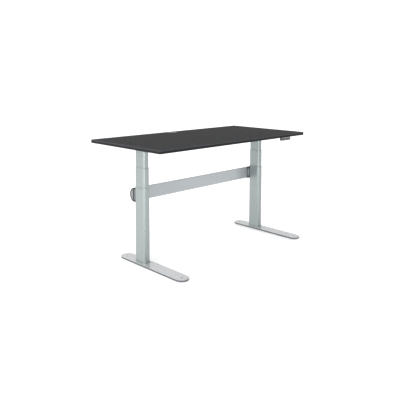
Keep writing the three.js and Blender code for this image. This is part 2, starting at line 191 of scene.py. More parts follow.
# %% Surround
scene = bpy.context.scene
scene.view_settings.view_transform = "Standard"
world = bpy.data.worlds.new("cove")
world.use_nodes = True
scene.world = world
cove = Network(world.node_tree)
direction = cove.node("ShaderNodeTexCoord")
BRIGHT_SIDE = Vector((-0.66, 0.62, 0.42)).normalized()
dot = {"operation": "DOT_PRODUCT"}
towards = cove.node("ShaderNodeVectorMath", dot, {0: direction, 1: BRIGHT_SIDE}, "Value")
background = world.node_tree.nodes["Background"]
background.inputs["Color"].default_value = (1, 1, 1, 1)
COVE_LEVEL = 1.13
COVE_SLOPE = 0.36
strength = COVE_LEVEL + COVE_SLOPE * towards
world.node_tree.links.new(strength.socket, background.inputs["Strength"])


def panel(name, place, target, width, height, power):
    """A soft rectangular light at place that faces target."""
    light = bpy.data.lights.new(name, "AREA")
    light.shape = "RECTANGLE"
    light.size = width
    light.size_y = height
    light.energy = power
    lamp = bpy.data.objects.new(name, light)
    lamp.location = place
    lamp.rotation_euler = (Vector(target) - Vector(place)).to_track_quat("-Z", "Y").to_euler()
    scene.collection.objects.link(lamp)
    print(name, "power", power)


panel("key_strip", (-5.2, -1.3, 1.7), (0, 0, 0.5), 0.8, 1.3, 125)
panel("corner_strip", (-1.9, -3.9, 0.9), (0.6, 0, 0.5), 0.4, 1.8, 48)

# %% [markdown]
# ## Powder coat
# The columns, feet and bar are steel with one silver powder coat. The bar and the feet take paler copies of
# it as painted light, and the feet's sides a dark copy as a painted reflection. The powder melts into a skin
# with a faint orange peel, and tiny flakes in it sparkle. A fine noise speckles the colour, a coarser one
# lifts the surface by about a hundredth of a millimetre, and a broad one keeps long parts from looking
# printed.

# %% Silver powder coat


def powder_coat(name, dark, pale, metallic):
    """A silver powder coat whose flakes run from dark to pale."""
    coat = Finish(name, Metallic=metallic)
    flakes = coat.spread(coat.noise(1600, 1), 0.35, 0.7)
    cloud = coat.spread(coat.noise(4, 3), 0.3, 0.7)
    middle = tuple((a + b) / 2.1 for a, b in zip(dark, pale))
    coat.feed("Base Color", coat.mix(cloud * 0.3, coat.mix(flakes, dark, pale), middle[:3] + (1,)))
    coat.feed("Roughness", 0.25 + 0.08 * coat.noise(18, 3))
    coat.bump(coat.noise(420, 2), 0.000012)
    return coat


silver = powder_coat("silver_powder_coat", (0.27, 0.303, 0.30, 1), (0.305, 0.342, 0.34, 1), 0.6)
# The bar's coat and the feet's coat are paler copies of the silver coat: painted light.
bar_coat_painted_light = powder_coat("bar_coat_with_painted_light", (0.345, 0.368, 0.38, 1), (0.39, 0.413, 0.425, 1), 0.4)
foot_coat_painted_light = powder_coat("foot_coat_with_painted_light", (0.45, 0.462, 0.475, 1), (0.50, 0.513, 0.527, 1), 0.3)
foil_silver = powder_coat("cap_foil", (0.20, 0.207, 0.215, 1), (0.24, 0.248, 0.258, 1), 0.5)
# The feet's sides take this dark copy of the coat as a painted reflection of the dark room.
foot_side_reflection_coat = powder_coat("foot_side_painted_dark_reflection", (0.085, 0.09, 0.095, 1), (0.13, 0.137, 0.143, 1), 0.5)

# %% [markdown]
# ## Laminate and its edge
# The desktop is chipboard under a charcoal laminate with a pebbled, almost matt face. Its edge band is
# black, and along the rounded arris above it a paler, bluish line a few millimetres wide is a painted
# reflection of the bright studio.

# %% Laminate
laminate = Finish("charcoal_laminate", Specular_IOR_Level=0.04)
pebbles = laminate.noise(900, 2)
fibres = laminate.spread(laminate.noise(60, 6, laminate.stretch(1, 9, 1), 0.6), 0.4, 0.75)
PEBBLE_DARK = (0.016, 0.0163, 0.0171, 1)
PEBBLE_PALE = (0.026, 0.0265, 0.0277, 1)
dots = laminate.mix(laminate.spread(pebbles, 0.38, 0.66), PEBBLE_DARK, PEBBLE_PALE)
laminate.feed("Base Color", laminate.mix(fibres * 0.35, dots, (0.033, 0.033, 0.0345, 1)))
laminate.feed("Roughness", 0.60 + 0.16 * laminate.noise(30, 3))
laminate.bump(pebbles, 0.00006)


def band(name, dark, pale, roughness):
    """A strip of ironed-on edging, printed with a fine speckle."""
    strip = Finish(name, Specular_IOR_Level=0.2)
    speckle = strip.spread(strip.noise(1100, 2), 0.35, 0.7)
    strip.feed("Base Color", strip.mix(speckle, dark, pale))
    strip.feed("Roughness", roughness + 0.14 * strip.noise(40, 3))
    strip.bump(strip.noise(700, 2), 0.00002)
    return strip


edge_band = band("black_edge_band", (0.004, 0.0045, 0.005, 1), (0.008, 0.0085, 0.0095, 1), 0.48)
# The arris band's paler bluish colour is a painted reflection, not the band's own colour.
arris_reflection_band = band("arris_painted_reflection", (0.025, 0.0275, 0.032, 1), (0.036, 0.039, 0.045, 1), 0.45)

# %% [markdown]
# ## Plastics, metals and the rest
# Moulded plastic has a fine spark-eroded texture, drawn steel has scratches along its length, and a circuit
# board has square islands of copper. Each finish varies colour, roughness and relief at its own scale.

# %% Plastics


def moulded(name, tint, roughness):
    """A moulded plastic with a fine texture and slightly uneven gloss."""
    plastic = Finish(name)
    grain = plastic.noise(1300, 2)
    paler = tuple(c * 1.35 for c in tint) + (1,)
    plastic.feed("Base Color", plastic.mix(plastic.spread(grain, 0.35, 0.75), tint + (1,), paler))
    plastic.feed("Roughness", roughness + 0.12 * plastic.noise(70, 2))
    plastic.bump(grain, 0.00004)
    return plastic


black = moulded("black_plastic", (0.010, 0.010, 0.0115), 0.40)
slide_grey = moulded("grey_plastic", (0.20, 0.215, 0.22), 0.40)
panel_grey = moulded("handset_panel", (0.075, 0.078, 0.082), 0.36)
lip_grey = moulded("handset_lip", (0.19, 0.195, 0.20), 0.36)
legend = moulded("pale_legend", (0.55, 0.56, 0.57), 0.45)
sheath = moulded("cable_sheath", (0.014, 0.014, 0.015), 0.5)
dark_paint = moulded("dark_paint", (0.085, 0.09, 0.096), 0.42)
bracket_paint = moulded("bracket_paint", (0.24, 0.265, 0.27), 0.42)

# %% Metals, glass and board


def drawn(name, tint, roughness):
    """A drawn or turned metal, with faint scratches along its length."""
    metal = Finish(name, Metallic=1.0)
    scratches = metal.noise(300, 4, metal.stretch(1, 1, 0.02), 0.65)
    paler = tuple(min(1, c * 1.2) for c in tint) + (1,)
    metal.feed("Base Color", metal.mix(metal.spread(scratches, 0.3, 0.7), tint + (1,), paler))
    metal.feed("Roughness", roughness + 0.2 * scratches)
    metal.bump(scratches, 0.00001)
    return metal


steel = drawn("drawn_steel", (0.46, 0.47, 0.48), 0.22)
bronze = drawn("turned_bronze", (0.46, 0.29, 0.12), 0.26)
copper_wire = drawn("enamelled_copper", (0.42, 0.16, 0.06), 0.3)
zinc = drawn("zinc_plated_screw", (0.55, 0.55, 0.56), 0.28)

window = Finish("smoked_window")
smoke = window.noise(400, 2)
window.feed("Base Color", window.mix(smoke, (0.006, 0.007, 0.009, 1), (0.012, 0.013, 0.016, 1)))
window.feed("Roughness", 0.08 + 0.06 * smoke)
window.bump(smoke, 0.000005)

board = Finish("circuit_board")
islands = board.node("ShaderNodeTexVoronoi", {"distance": "CHEBYCHEV"}, {"Vector": board.place, "Scale": 240})
copper = board.spread(islands, 0.38, 0.42)
board.feed("Base Color", board.mix(copper, (0.02, 0.10, 0.045, 1), (0.03, 0.20, 0.09, 1)))
board.feed("Roughness", 0.3 + 0.2 * islands)
board.bump(copper, 0.00004)

# %% [markdown]
# ## Floor
# The cove's floor is a matt white disc so wide that its edge is lost in the background. It carries a trace
# of light of its own, as a floor lit from below does, and still darkens in the narrow gap under each foot.

# %% Floor
WHITE = (1, 1, 1, 1)
floor_finish = Finish("pale_floor", Specular_IOR_Level=0.1, Emission_Color=WHITE, Emission_Strength=0.3)
dust = floor_finish.noise(3, 2)
floor_finish.feed("Base Color", floor_finish.mix(dust, (0.80, 0.80, 0.80, 1), (0.82, 0.82, 0.82, 1)))
floor_finish.feed("Roughness", 0.7 + 0.1 * dust)
floor_finish.bump(dust, 0.0001)
sweep = bmesh.new()
below = Matrix.Translation((0, 0, CAD_BOX[0].z - 0.2 * MM))
bmesh.ops.create_circle(sweep, cap_ends=True, segments=96, radius=30, matrix=below)
floor_mesh = bpy.data.meshes.new("floor")
sweep.to_mesh(floor_mesh)
sweep.free()
floor_mesh.materials.append(floor_finish.material)
floor = bpy.data.objects.new("floor", floor_mesh)
scene.collection.objects.link(floor)

# %% [markdown]
# ## From a bmesh to a piece of the desk
# Each piece ends the same way: its faces are turned outwards, it is shaded smooth except at real edges, it
# gets its finish and it rides on the body that carries it. The weighted normals keep large flat faces flat
# beside their rounded edges.

# %% Settling a piece


def settle(bm, name, body, finishes, stands_for=(), sharp=38):
    """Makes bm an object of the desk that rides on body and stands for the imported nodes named."""
    bmesh.ops.recalc_face_normals(bm, faces=bm.faces)
    mesh = bpy.data.meshes.new(name)
    bm.to_mesh(mesh)
    bm.free()
    mesh.shade_smooth()
    mesh.set_sharp_from_angle(angle=math.radians(sharp))
    for finish in finishes:
        mesh.materials.append(finish.material)
    piece = bpy.data.objects.new(name, mesh)
    scene.collection.objects.link(piece)
    even = piece.modifiers.new("even_normals", "WEIGHTED_NORMAL")
    even.keep_sharp = True
    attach(piece, body)
    if stands_for:
        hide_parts(*stands_for)
    size = [round(edge * 1000, 1) for edge in piece.dimensions]
    print(name, "faces", len(mesh.polygons), "size", size)
    return piece


def around(name):
    """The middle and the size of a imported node."""
    low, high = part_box(name)
    return (low + high) / 2, high - low


# %% [markdown]
# ## Boxes, tubes and plates
# Most of the desk is folded or cut from plate and tube. A tube starts as a cube: bevelling its four upright
# edges gives the round corners, insetting its two ends gives the wall, and bridging the two inner loops
# gives the bore. A plate with holes starts as flat loops that are filled and drawn up. A bevel breaks every
# sharp rim.

# %% Boxes and rims


def round_box(low, high, corner, steps=8):
    """A box between two corners, with its four upright edges rounded."""
    bm = bmesh.new()
    bmesh.ops.create_cube(bm, size=1)
    size = Vector(high) - Vector(low)
    bmesh.ops.scale(bm, vec=size, verts=bm.verts)
    bmesh.ops.translate(bm, vec=(Vector(high) + Vector(low)) / 2, verts=bm.verts)
    if corner:
        upright = [e for e in bm.edges if abs(e.verts[0].co.z - e.verts[1].co.z) > size.z / 2]
        rounding = {"segments": steps, "profile": 0.5, "affect": "EDGES", "material": -1}
        bmesh.ops.bevel(bm, geom=upright, offset=corner, **rounding)
    return bm


def soften(bm, radius, steps=3, angle=50, keep=None):
    """Rounds the edges where faces meet at more than angle degrees, or those of them that keep accepts."""
    bm.normal_update()
    limit = math.radians(angle)
    sharp = [e for e in bm.edges if len(e.link_faces) == 2 and e.calc_face_angle() > limit]
    edges = [e for e in sharp if keep is None or keep(e)]
    rounding = {"segments": steps, "profile": 0.5, "affect": "EDGES", "material": -1, "clamp_overlap": True}
    bmesh.ops.bevel(bm, geom=edges, offset=radius, **rounding)
    return bm


# %% Hollows and recesses


def facing(bm, axis, sign=0):
    """The faces square to an axis, 0 for X to 2 for Z: those facing along sign, or both ways for 0."""
    bm.normal_update()
    return [f for f in bm.faces if abs(f.normal[axis]) > 0.999 and sign * f.normal[axis] >= 0]


def hollow(bm, axis, wall):
    """Opens a solid bar right through: its two ends are inset by wall and the inner loops bridged."""
    ends = sorted(facing(bm, axis), key=lambda f: f.calc_center_median()[axis])
    ends = [ends[0], ends[-1]]
    bmesh.ops.inset_region(bm, faces=ends, thickness=wall, use_even_offset=True)
    bmesh.ops.delete(bm, geom=ends, context="FACES_ONLY")
    loops = [e for e in bm.edges if len(e.link_faces) == 1]
    bmesh.ops.bridge_loops(bm, edges=loops)
    return bm


def recess(bm, face, wall, depth):
    """Sinks the middle of a face by depth and leaves a rim of wall round it."""
    inward = face.normal * -depth
    bmesh.ops.inset_region(bm, faces=[face], thickness=wall, use_even_offset=True)
    sunk = bmesh.ops.extrude_discrete_faces(bm, faces=[face])["faces"][0]
    bmesh.ops.translate(bm, vec=inward, verts=sunk.verts)
    return sunk


# %% Plates with holes


def loop(bm, x, y, width, depth, corner, steps=6):
    """A flat loop at (x, y): a rectangle with round corners, or a circle if corner is half its size."""
    middle = Matrix.Translation((x, y, 0)) @ Matrix.Diagonal((width, depth, 1, 1))
    bmesh.ops.create_grid(bm, x_segments=1, y_segments=1, size=0.5, matrix=middle)
    if corner:
        offset = min(corner, 0.4999 * min(width, depth))
        rounding = {"segments": steps, "profile": 0.5, "affect": "VERTICES", "material": -1}
        bmesh.ops.bevel(bm, geom=list(bm.faces)[0].verts[:], offset=offset, **rounding)
    bmesh.ops.delete(bm, geom=bm.faces[:], context="FACES_ONLY")


def drawn_out(bm, vector):
    """Draws flat faces out along a vector."""
    grown = bmesh.ops.extrude_face_region(bm, geom=bm.faces[:])
    moved = [g for g in grown["geom"] if isinstance(g, bmesh.types.BMVert)]
    bmesh.ops.translate(bm, vec=vector, verts=moved)
    return bm


def plate(outline, holes, bottom, top):
    """A flat plate between two heights. The outline and each hole are the arguments of loop."""
    bm = bmesh.new()
    for shape in [outline, *holes]:
        loop(bm, *shape)
    bmesh.ops.triangle_fill(bm, use_beauty=True, use_dissolve=False, edges=bm.edges)
    bmesh.ops.translate(bm, vec=(0, 0, bottom), verts=bm.verts)
    return drawn_out(bm, (0, 0, top - bottom))


# %% Turned pieces


def turned(profile, centre, steps=48, angle=math.tau, start=0):
    """A profile of (radius, height) points spun about an upright axis through centre."""
    bm = bmesh.new()
    points = [bm.verts.new((radius, 0, height)) for radius, height in profile]
    edges = [bm.edges.new(pair) for pair in zip(points, points[1:])]
    whole = angle == math.tau
    spin = {"axis": (0, 0, 1), "cent": (0, 0, 0), "steps": steps, "angle": angle, "use_merge": whole}
    bmesh.ops.rotate(bm, cent=(0, 0, 0), matrix=Matrix.Rotation(start, 3, "Z"), verts=bm.verts)
    bmesh.ops.spin(bm, geom=points + edges, **spin)
    bmesh.ops.remove_doubles(bm, verts=bm.verts, dist=1e-6)
    bmesh.ops.translate(bm, vec=centre, verts=bm.verts)
    return bm


def joined(meshes):
    """Several bmeshes as one."""
    whole = bmesh.new()
    for bm in meshes:
        carrier = bpy.data.meshes.new("carrier")
        bm.to_mesh(carrier)
        bm.free()
        whole.from_mesh(carrier)
        bpy.data.meshes.remove(carrier)
    return whole


def turn_to(bm, matrix):
    """Moves a bmesh that was made lying flat to its place."""
    bmesh.ops.transform(bm, matrix=matrix, verts=bm.verts)
    return bm


# %% Screws


def screw_head(radius, height, steps=24):
    """A pan head with a round-cornered socket, standing up from the origin."""
    profile = [
        (0, height * 0.35),
        (radius * 0.38, height * 0.35),
        (radius * 0.42, height * 0.97),
        (radius * 0.5, height),
        (radius * 0.72, height * 0.93),
        (radius * 0.93, height * 0.6),
        (radius, height * 0.22),
        (radius, 0),
        (0, 0),
    ]
    return turned(profile, (0, 0, 0), steps)


def screws(places, radius, height, facing_along):
    """Pan heads at the places given, all facing along one direction."""
    aim = Vector(facing_along).to_track_quat("Z", "Y").to_matrix().to_4x4()
    heads = [turn_to(screw_head(radius, height), Matrix.Translation(place) @ aim) for place in places]
    return joined(heads)


# %% [markdown]
# ## Feet and glides
# Each foot is a flat bar with full round ends. Its outline is a rectangle whose corners are rounded by half
# its width, and its rims are broken by a millimetre and a half. Its side faces carry a dark painted
# reflection of the room, so that they read as a thin dark line under the silver face. The stems of its two
# glides come up through it. A weld bead runs round the column where it stands on the foot, and four bolts
# come up into the column from below.

# %% Feet
FOOT_EDGE = 1.5 * MM
STEM_HOLE = 10.6 * MM
for side in SIDES:
    middle, size = around(f"{side}_foot")
    low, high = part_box(f"{side}_foot")
    glides = [around(f"{side}_{end}_glide")[0] for end in ("front", "rear")]
    stems = [(g.x, g.y, STEM_HOLE, STEM_HOLE, STEM_HOLE / 2, 6) for g in glides]
    outline = (middle.x, middle.y, size.x, size.y, size.x / 2, 20)
    foot = plate(outline, stems, low.z, high.z)
    on_outline = lambda e: all(min((v.co.xy - g.xy).length for g in glides) > 8 * MM for v in e.verts)
    soften(foot, FOOT_EDGE, 3, 50, on_outline)
    foot.normal_update()
    # Side faces take the dark painted reflection, the top the paler copy of the coat that paints on light.
    for face in foot.faces:
        face.material_index = 1 if abs(face.normal.z) < 0.6 else 0
    settle(foot, f"{side}_foot_bar", "base", [foot_coat_painted_light, foot_side_reflection_coat], [f"{side}_foot"])

# %% Weld beads and bolts under the feet
BEAD = 2.5 * MM
for side in SIDES:
    low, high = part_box(f"{side}_outer_tube")
    foot_low, foot_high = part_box(f"{side}_foot")
    spread_out = Vector((BEAD, BEAD, 0))
    bead_low = Vector((low.x, low.y, foot_high.z)) - spread_out
    bead = round_box(bead_low, Vector((high.x, high.y, foot_high.z + BEAD)) + spread_out, 20.5 * MM, 10)
    soften(bead, BEAD * 0.8, 3, 50, lambda e: e.verts[0].co.z > foot_high.z + BEAD / 2)
    hollow(bead, 2, BEAD + 0.3 * MM)
    settle(bead, f"{side}_weld_bead", "base", [silver])
    column = (low + high) / 2
    pairs = [(dx, dy) for dx in (-15 * MM, 15 * MM) for dy in (-38 * MM, 38 * MM)]
    spots = [(column.x + dx, column.y + dy, foot_low.z) for dx, dy in pairs]
    bolts = screws(spots, 6 * MM, 3.5 * MM, (0, 0, -1))
    settle(bolts, f"{side}_foot_bolts", "base", [dark_paint])

# %% [markdown]
# The glides are turned: a wide soft pad, a small shoulder to take a spanner, and a stem. Each is a spun
# profile, and rides on its own body, because turning it in and out levels the desk.

# %% Glides
for side in SIDES:
    for end in ("front", "rear"):
        node = f"{side}_{end}_glide"
        middle, size = around(node)
        low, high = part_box(node)
        pad = size.x / 2
        profile = [
            (0, 0),
            (pad - 2.5 * MM, 0),
            (pad - 0.8 * MM, 0.5 * MM),
            (pad, 1.8 * MM),
            (pad, 3.6 * MM),
            (pad - 0.8 * MM, 4.4 * MM),
            (12 * MM, 5.4 * MM),
            (11.4 * MM, 7 * MM),
            (5 * MM, 7 * MM),
            (5 * MM, size.z - 0.6 * MM),
            (4.4 * MM, size.z),
            (0, size.z),
        ]
        glide = turned(profile, Vector((middle.x, middle.y, low.z)), 48)
        settle(glide, f"{node}_pad", node, [black], [node])

# %% [markdown]
# ## Lifting columns
# Three tubes nest in each column, 5 mm smaller a stage, so their corners stay concentric. Each is a
# bevelled box opened by hollow(), with its rims broken. A grey slide ring shows as a thin line in the mouth
# of the two lower tubes, and its skirt fills the gap to the next tube.

# %% Tubes
WALL = 1.5 * MM
CORNERS = {"outer_tube": 18 * MM, "middle_tube": 15.5 * MM, "inner_tube": 13 * MM}
CARRIERS = {"outer_tube": "base", "middle_tube": "{}_middle", "inner_tube": "top"}
for side in SIDES:
    for stage, corner in CORNERS.items():
        node = f"{side}_{stage}"
        low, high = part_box(node)
        tube = hollow(round_box(low, high, corner, 10), 2, WALL)
        soften(tube, 0.5 * MM, 2, 60)
        body = CARRIERS[stage].format(side)
        settle(tube, f"{node}_shell", body, [silver], [node])

# %% Slide rings
for side in SIDES:
    for stage, body in (("outer", "base"), ("middle", f"{side}_middle")):
        node = f"{side}_{stage}_slide_ring"
        low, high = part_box(node)
        corner = CORNERS[f"{stage}_tube"]
        lip_low = Vector((low.x, low.y, high.z - 1.7 * MM))
        lip = hollow(round_box(lip_low, high, corner - 0.3 * MM, 10), 2, 1.9 * MM)
        soften(lip, 0.4 * MM, 2, 60)
        inset = Vector((WALL, WALL, 0))
        skirt_high = Vector(high) - inset - Vector((0, 0, 1 * MM))
        skirt = hollow(round_box(low + inset, skirt_high, corner - 1.8 * MM, 10), 2, 0.4 * MM)
        settle(joined([lip, skirt]), f"{node}_trim", body, [slide_grey], [node])

# %% [markdown]
# Inside each column the screws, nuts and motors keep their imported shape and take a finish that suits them.

# %% Finishes for what works inside
INSIDE = {
    "push_tube": steel,
    "lower_nut": bronze,
    "nut_carrier": steel,
    "upper_nut": bronze,
    "screw_bearing": steel,
    "sleeve_screw": steel,
    "drive_screw": steel,
    "gear_motor": dark_paint,
}
for side in SIDES:
    for part, finish in INSIDE.items():
        bpy.data.objects[f"{side}_{part}"].material_slots[0].material = finish.material
bpy.data.objects["control_board"].material_slots[0].material = board.material
bpy.data.objects["handset_board"].material_slots[0].material = board.material
bpy.data.objects["transformer"].material_slots[0].material = copper_wire.material
print("finished inside:", 2 * len(INSIDE) + 3)

# %% [markdown]
# ## The tie bar
# The bar behind the legs is a half-round tube with its flat side forward. A vertex spun half a turn draws
# its back, and a flat edge closes it, so the section is one face to draw out along X. Its two long corners
# are rounded before it is hollowed.

# %% Bar


def half_round(front, middle, depth, half_height, x, turns=28):
    """The bar's outline as one face at x: flat at front, curved back by depth."""
    bm = bmesh.new()
    low = bm.verts.new((0, 0, -half_height))
    spin = {"axis": (1, 0, 0), "cent": (0, 0, 0), "steps": turns, "angle": math.pi, "use_merge": False}
    bmesh.ops.spin(bm, geom=[low], **spin)
    bm.edges.new([v for v in bm.verts if len(v.link_edges) == 1])
    bmesh.ops.scale(bm, vec=(1, depth / half_height, 1), verts=bm.verts)
    bmesh.ops.contextual_create(bm, geom=bm.edges[:])
    bmesh.ops.translate(bm, vec=(x, front, middle), verts=bm.verts)
    return bm


low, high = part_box("crossbar")
BAR_MIDDLE = (low + high) / 2
bar = half_round(low.y, BAR_MIDDLE.z, high.y - low.y, (high.z - low.z) / 2, low.x)
drawn_out(bar, (high.x - low.x, 0, 0))
long_corner = lambda e: abs(e.verts[0].co.x - e.verts[1].co.x) > 0.1
soften(bar, 3 * MM, 5, 70, long_corner)
hollow(bar, 0, 2.5 * MM)
# The bar takes the paler copy of the silver coat, painted light.
settle(bar, "crossbar_tube", "base", [bar_coat_painted_light], ["crossbar"])

# %% [markdown]
# A black plastic cap plugs each end. Its rim is a half-round like the bar's own, and a silver foil fills
# the shallow recess in its face. A painted bracket plate holds the bar off each leg, between two black
# rubber pads that hide the plate's sheared edges, and two black screws fix it where it reaches past the
# leg. The plate's two sides are black as painted shade, the shade in the gap between the bar and the leg.

# %% Bar caps
CAP_RIM = 8 * MM
FOIL_DEPTH = 0.5 * MM
for side in SIDES:
    node = f"{side}_bar_cap"
    low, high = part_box(node)
    outward = -1 if side == "left" else 1
    outer_x = low.x if outward < 0 else high.x
    cap = half_round(low.y, BAR_MIDDLE.z, high.y - low.y, (high.z - low.z) / 2, outer_x)
    drawn_out(cap, (-outward * 3 * MM, 0, 0))
    soften(cap, 1 * MM, 3, 60)
    outer_face = max(facing(cap, 0, outward), key=lambda f: f.calc_area())
    foil = recess(cap, outer_face, CAP_RIM, FOIL_DEPTH)
    foil.material_index = 1
    settle(cap, f"{node}_cover", "base", [black, foil_silver], [node])

# %% Bar brackets
PAD = 12 * MM
for side in SIDES:
    node = f"{side}_bar_bracket"
    low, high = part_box(node)
    steel_low = Vector((low.x, low.y, low.z + PAD))
    steel_high = Vector((high.x, high.y, high.z - PAD))
    sheet = soften(round_box(steel_low, steel_high, 0), 0.8 * MM, 2)
    # Both sides of the plate take black as painted shade, the shade in the gap between the bar and the leg.
    for face in facing(sheet, 0):
        face.material_index = 1
    settle(sheet, f"{node}_plate", "base", [bracket_paint, black], [node])
    pads = []
    for bottom in (low.z, high.z - PAD):
        pad = round_box((low.x, low.y, bottom), (high.x, high.y, bottom + PAD), 0)
        pads.append(soften(pad, 1.5 * MM, 3))
    settle(joined(pads), f"{node}_pads", "base", [black])
    leg_low, leg_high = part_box(f"{side}_outer_tube")
    reach = (leg_high.x + high.x) / 2 if side == "left" else (leg_low.x + low.x) / 2
    spots = [(reach, low.y, low.z + 22 * MM), (reach, low.y, high.z - 22 * MM)]
    heads = screws(spots, 4.5 * MM, 2.6 * MM, (0, -1, 0))
    settle(heads, f"{node}_screws", "base", [black])

# %% [markdown]
# ## Desktop
# A 25 mm board is laid up with laminate on both faces and edged all round. The plate is drawn from its
# outline and the grommet's hole. Both rims are rounded by 4 mm. The upper rim and the few millimetres of
# edge below it carry a paler, bluish painted reflection, the rest of the edge is the black band, and the
# two faces are laminate.

# %% Desktop
ARRIS = 4 * MM
REFLECTION_LINE_DEPTH = 8 * MM
low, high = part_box("desktop")
middle, size = around("desktop")
grommet, grommet_size = around("grommet_ring")
outline = (middle.x, middle.y, size.x, size.y, 6 * MM, 6)
hole = (grommet.x, grommet.y, 80 * MM, 80 * MM, 40 * MM, 16)
slab = plate(outline, [hole], low.z, high.z)
away_from_hole = lambda e: all((v.co.xy - grommet.xy).length > 50 * MM for v in e.verts)
soften(slab, ARRIS, 5, 50, away_from_hole)
cut_at = Vector((0, 0, high.z - REFLECTION_LINE_DEPTH))
whole = slab.verts[:] + slab.edges[:] + slab.faces[:]
bmesh.ops.bisect_plane(slab, geom=whole, plane_co=cut_at, plane_no=(0, 0, 1))
slab.normal_update()
for face in slab.faces:
    if abs(face.normal.z) < 0.9999:
        # Edge faces above the cut take the arris's painted reflection, those below it the black band.
        face.material_index = 2 if face.calc_center_median().z > cut_at.z else 1
settle(slab, "desktop_board", "top", [laminate, edge_band, arris_reflection_band], ["desktop"])

# %% [markdown]
# ## Cable grommet
# The grommet is a turned ring that drops into the hole, with a turning cap that has a slot for cables. The
# cap's disc is a circle cut by three planes, and what lies inside the slot is removed before it is drawn
# up. The lip below it is spun through less than a full turn so that it stops short of the slot.

# %% Grommet ring
ring_low, ring_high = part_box("grommet_ring")
UNDER = ring_low.z
TOP_FACE = high.z
flange = grommet_size.x / 2
profile = [
    (34 * MM, ring_high.z - 11.5 * MM),
    (37 * MM, UNDER),
    (39.7 * MM, UNDER),
    (39.7 * MM, TOP_FACE + 0.3 * MM),
    (flange - 0.3 * MM, TOP_FACE + 0.3 * MM),
    (flange, TOP_FACE + 0.6 * MM),
    (flange - 0.5 * MM, ring_high.z - 0.3 * MM),
    (flange - 1.4 * MM, ring_high.z),
    (37.6 * MM, ring_high.z),
    (37 * MM, ring_high.z - 0.6 * MM),
    (37 * MM, ring_high.z - 9.5 * MM),
    (34 * MM, ring_high.z - 9.5 * MM),
    (34 * MM, ring_high.z - 11.5 * MM),
]
grommet_ring = turned(profile, Vector((grommet.x, grommet.y, 0)), 72)
settle(grommet_ring, "grommet_ring_trim", "top", [black], ["grommet_ring"])

# %% Grommet cap
CAP_RADIUS = 36.7 * MM
SLOT_HALF = 10 * MM
SLOT_START = CAP_RADIUS - 14 * MM
cap = bmesh.new()
bmesh.ops.create_circle(cap, cap_ends=True, segments=72, radius=CAP_RADIUS)
SLOT_SIDES = [((SLOT_HALF, 0, 0), (1, 0, 0)), ((-SLOT_HALF, 0, 0), (1, 0, 0))]
for point, normal in SLOT_SIDES + [((0, SLOT_START, 0), (0, 1, 0))]:
    everything = cap.verts[:] + cap.edges[:] + cap.faces[:]
    bmesh.ops.bisect_plane(cap, geom=everything, plane_co=point, plane_no=normal)
centres = [(f, f.calc_center_median()) for f in cap.faces]
slot = [f for f, c in centres if abs(c.x) < SLOT_HALF and c.y > SLOT_START]
bmesh.ops.delete(cap, geom=slot, context="FACES")
bmesh.ops.translate(cap, vec=(0, 0, -3 * MM), verts=cap.verts)
drawn_out(cap, (0, 0, 3 * MM))
soften(cap, 0.5 * MM, 2, 60)
lip = [(34.7 * MM, -9.2 * MM), (36.5 * MM, -9.2 * MM), (36.5 * MM, -3 * MM), (34.7 * MM, -3 * MM)]
lip.append(lip[0])
gap_angle = 2 * math.asin(SLOT_HALF / CAP_RADIUS)
skirt = turned(lip, (0, 0, 0), 64, math.tau - gap_angle, math.pi / 2 + gap_angle / 2)
cap = joined([cap, skirt])
bmesh.ops.translate(cap, vec=(grommet.x, grommet.y, ring_high.z), verts=cap.verts)
settle(cap, "grommet_cap_disc", "grommet_cap", [black], ["grommet_cap"])

# %% [markdown]
# ## Support arms
# Each column carries a folded channel, open below, screwed to the desktop. It starts as a cube without its
# underside and ends. Two cuts mark where its webs start to taper, the lower corners of its tips are lifted,
# and solidify gives the sheet its thickness. The column's head plate sits in it on four bolts.

# %% Support arms
SHEET = 2.5 * MM
TIP = 13 * MM
SLOPE = 90 * MM
for side in SIDES:
    node = f"{side}_support_arm"
    low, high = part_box(node)
    arm = round_box(low, high, 0)
    opened = [*facing(arm, 2, -1), *facing(arm, 1)]
    bmesh.ops.delete(arm, geom=opened, context="FACES")
    for y in (low.y + SLOPE, high.y - SLOPE):
        everything = arm.verts[:] + arm.edges[:] + arm.faces[:]
        bmesh.ops.bisect_plane(arm, geom=everything, plane_co=(0, y, 0), plane_no=(0, 1, 0))
    tips = [v for v in arm.verts if v.co.z < low.z + 1e-5 and min(v.co.y - low.y, high.y - v.co.y) < 1e-5]
    bmesh.ops.translate(arm, vec=(0, 0, high.z - low.z - TIP), verts=tips)
    soften(arm, 4 * MM, 4, 60)
    bmesh.ops.recalc_face_normals(arm, faces=arm.faces)
    bmesh.ops.solidify(arm, geom=arm.faces[:], thickness=SHEET)
    soften(arm, 0.4 * MM, 2, 70)
    settle(arm, f"{node}_channel", "top", [silver], [node])

# %% Head plates and the arms' screws
for side in SIDES:
    node = f"{side}_head_plate"
    low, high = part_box(node)
    head = soften(round_box(low, high, 6 * MM, 5), 0.6 * MM, 2)
    settle(head, f"{node}_steel", "top", [silver], [node])
    middle, size = around(node)
    pairs = [(dx, dy) for dx in (-24 * MM, 24 * MM) for dy in (-66 * MM, 66 * MM)]
    bolts = [(middle.x + dx, middle.y + dy, low.z) for dx, dy in pairs]
    settle(screws(bolts, 5 * MM, 3 * MM, (0, 0, -1)), f"{side}_head_bolts", "top", [zinc])
    arm_low, arm_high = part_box(f"{side}_support_arm")
    inset = (30 * MM, 110 * MM, 190 * MM)
    rows = [arm_low.y + d for d in inset] + [arm_high.y - d for d in inset]
    under_roof = arm_high.z - SHEET
    spots = [(middle.x + (12 * MM if i % 2 else -12 * MM), y, under_roof) for i, y in enumerate(rows)]
    settle(screws(spots, 5.5 * MM, 2.6 * MM, (0, 0, -1)), f"{side}_arm_screws", "top", [zinc])

# %% [markdown]
# ## Handset
# The control handset hangs under the front edge, near the user's right hand. Its front panel is a flat
# plate with a window for the display and five for the buttons, turned up to face the user. One more cut
# gives it a paler lip along the top. A black body closes its back, and a tab behind takes two screws.

